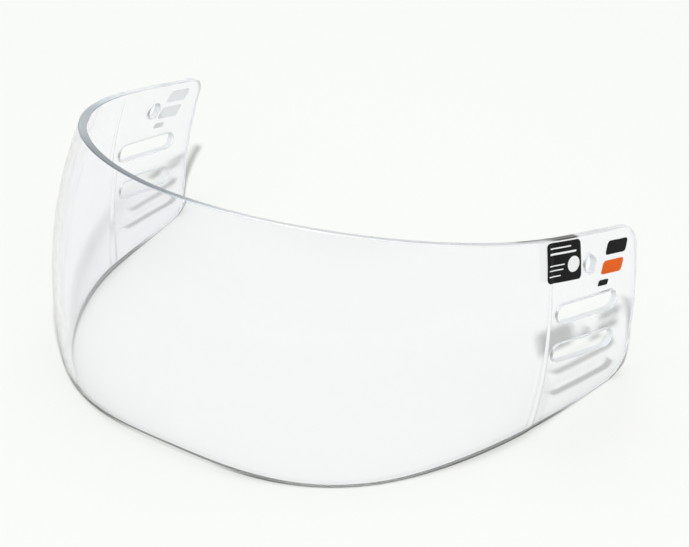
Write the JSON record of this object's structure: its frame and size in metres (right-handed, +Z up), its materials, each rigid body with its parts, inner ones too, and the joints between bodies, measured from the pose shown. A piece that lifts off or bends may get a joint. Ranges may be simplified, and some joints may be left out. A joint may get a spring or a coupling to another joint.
{
  "type": "hockey helmet half visor",
  "caption": "Clear one-piece half visor for a hockey helmet, with slotted ears, a blank black sticker and plain printed marks.",
  "frame": {"origin": "on the table, under the middle of the whole part", "axes": "+X to the right as seen from the front, which is the wearer's left, +Y from the front towards the ears, +Z up"},
  "size_m": [0.2056, 0.1434, 0.0972],
  "materials": {
    "clear_plastic": "clear, polished",
    "black_print": "satin black film",
    "orange_print": "satin orange film"
  },
  "bodies": {
    "root": {"visor_shell": "clear_plastic", "blank_sticker": "black_print", "right_mark_upper": "black_print", "right_mark_middle": "orange_print", "right_mark_lower": "black_print", "left_mark_upper": "black_print", "left_mark_middle": "orange_print", "left_mark_lower": "black_print"}
  },
  "joints": []
}
